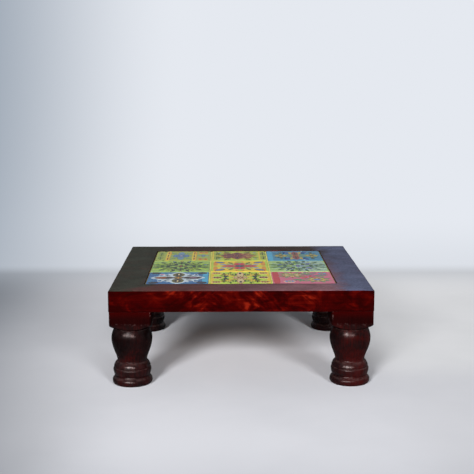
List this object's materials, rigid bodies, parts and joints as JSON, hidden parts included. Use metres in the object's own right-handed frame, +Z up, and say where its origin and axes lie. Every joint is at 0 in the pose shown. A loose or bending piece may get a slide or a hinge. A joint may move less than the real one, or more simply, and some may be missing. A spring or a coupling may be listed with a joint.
{
  "type": "chowki",
  "caption": "Low square wooden stool with a mitred frame round a field of glazed tiles, on four turned legs.",
  "frame": {"origin": "on the floor, under the middle of the square top", "axes": "+Z up, +X to the right and -Y towards the viewer of the picture, both along the rails"},
  "size_m": [0.305, 0.305, 0.115],
  "materials": {
    "lacquered_rail": "glossy dark red lacquer",
    "lacquered_leg": "glossy dark brown lacquer",
    "bare_wood": "unfinished",
    "plywood": "unfinished",
    "screw_steel": "zinc plated",
    "cement": "set tile adhesive",
    "grout": "matt",
    "glaze_blue": "glossy glaze",
    "glaze_lime": "glossy glaze",
    "glaze_red": "glossy glaze",
    "glaze_mint": "glossy glaze",
    "glaze_yellow": "glossy glaze",
    "glaze_pale_green": "glossy glaze",
    "glaze_yellow_green": "glossy glaze",
    "glaze_light_lime": "glossy glaze",
    "glaze_sky_blue": "glossy glaze"
  },
  "bodies": {
    "root": {"frame_rail_front": "lacquered_rail", "frame_rail_right": "lacquered_rail", "frame_rail_back": "lacquered_rail", "frame_rail_left": "lacquered_rail", "mitre_spline_front_left": "bare_wood", "mitre_spline_front_right": "bare_wood", "mitre_spline_back_left": "bare_wood", "mitre_spline_back_right": "bare_wood", "leg_front_left": "lacquered_leg", "leg_front_right": "lacquered_leg", "leg_back_left": "lacquered_leg", "leg_back_right": "lacquered_leg", "base_panel": "plywood", "panel_screw_front_1": "screw_steel", "panel_screw_front_2": "screw_steel", "panel_screw_right_1": "screw_steel", "panel_screw_right_2": "screw_steel", "panel_screw_back_1": "screw_steel", "panel_screw_back_2": "screw_steel", "panel_screw_left_1": "screw_steel", "panel_screw_left_2": "screw_steel", "tile_bed": "cement", "tile_grout": "grout", "tile_front_left": "glaze_blue", "tile_front_centre": "glaze_lime", "tile_front_right": "glaze_red", "tile_middle_left": "glaze_mint", "tile_middle_centre": "glaze_yellow", "tile_middle_right": "glaze_pale_green", "tile_back_left": "glaze_yellow_green", "tile_back_centre": "glaze_light_lime", "tile_back_right": "glaze_sky_blue"}
  },
  "joints": []
}
